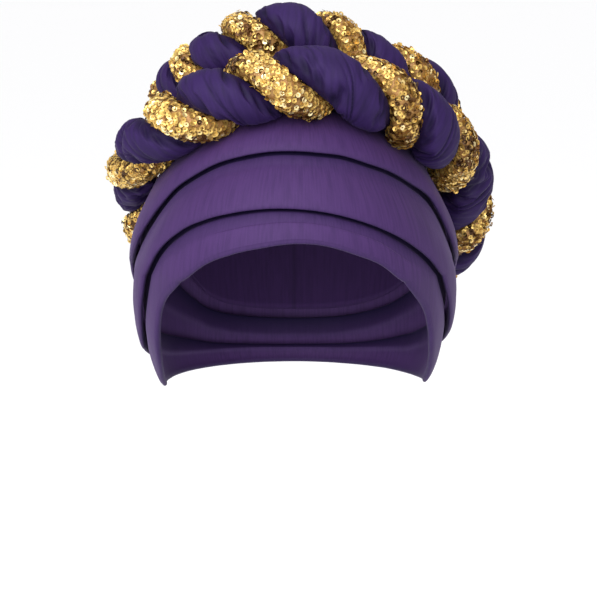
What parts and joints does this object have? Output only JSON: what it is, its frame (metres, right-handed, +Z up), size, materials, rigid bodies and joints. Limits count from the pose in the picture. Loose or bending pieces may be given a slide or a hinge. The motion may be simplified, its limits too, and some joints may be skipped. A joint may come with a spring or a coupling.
{
  "type": "pleated turban with braids",
  "caption": "Pleated stretch-cloth turban with folded front band and twisted sequin braids round the crown, shaped as worn on a head.",
  "frame": {"origin": "top of the head hollow, where the crown of the cap rests on the head", "axes": "+Z up, the front of the turban faces -Y, +X to the right as seen from the front"},
  "size_m": [0.2026, 0.2216, 0.1991],
  "materials": {
    "cap_cloth": "smooth stretch knit, dark purple",
    "band_cloth": "smooth stretch knit with a soft sheen, purple",
    "braid_cloth": "padded stretch knit, dark purple",
    "sequin_mesh": "gold mesh cloth closely covered with small glossy gold sequins"
  },
  "bodies": {
    "root": {"crown_cap": "cap_cloth", "front_pleat_lower": "band_cloth", "front_pleat_middle": "band_cloth", "front_pleat_upper": "band_cloth", "front_braid_gold": "sequin_mesh", "front_braid_purple": "braid_cloth", "rear_braid_gold": "sequin_mesh", "rear_braid_purple": "braid_cloth"}
  },
  "joints": []
}
